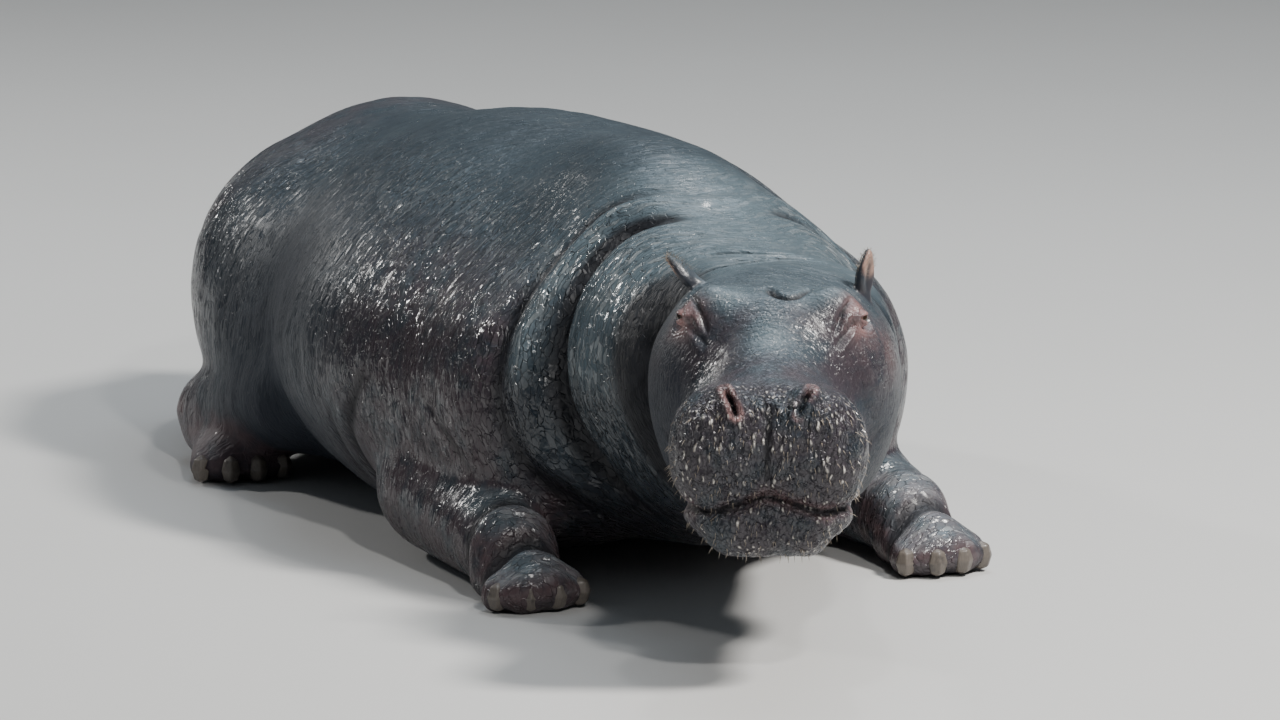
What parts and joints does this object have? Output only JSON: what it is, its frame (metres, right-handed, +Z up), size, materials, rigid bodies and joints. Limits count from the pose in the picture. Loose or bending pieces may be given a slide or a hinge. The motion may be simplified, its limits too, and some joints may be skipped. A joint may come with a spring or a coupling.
{
  "type": "hippopotamus model",
  "caption": "Life-size still model of an adult hippopotamus lying on her belly, legs folded beside her, head held low and turned a little to her right.",
  "frame": {"origin": "on the floor under the middle of the whole animal", "axes": "+X towards the front of the trunk, +Y to the animal's left, +Z up"},
  "size_m": [3.6242, 1.406, 0.9514],
  "materials": {
    "hide": "wet hide, finely wrinkled, slate grey with brown and pink",
    "ear": "wet hide, pinker than the body",
    "nail": "dull horn",
    "eye": "wet and glossy"
  },
  "bodies": {
    "root": {"trunk": "hide", "neck": "hide", "head": "hide", "lower_jaw": "hide", "tail": "hide", "eye_right": "eye", "ear_right": "ear", "fore_leg_right": "hide", "fore_foot_right": "hide", "fore_nail_right_1": "nail", "fore_nail_right_2": "nail", "fore_nail_right_3": "nail", "fore_nail_right_4": "nail", "hind_leg_right": "hide", "hind_foot_right": "hide", "hind_nail_right_1": "nail", "hind_nail_right_2": "nail", "hind_nail_right_3": "nail", "hind_nail_right_4": "nail", "eye_left": "eye", "ear_left": "ear", "fore_leg_left": "hide", "fore_foot_left": "hide", "fore_nail_left_1": "nail", "fore_nail_left_2": "nail", "fore_nail_left_3": "nail", "fore_nail_left_4": "nail", "hind_leg_left": "hide", "hind_foot_left": "hide", "hind_nail_left_1": "nail", "hind_nail_left_2": "nail", "hind_nail_left_3": "nail", "hind_nail_left_4": "nail"}
  },
  "joints": []
}
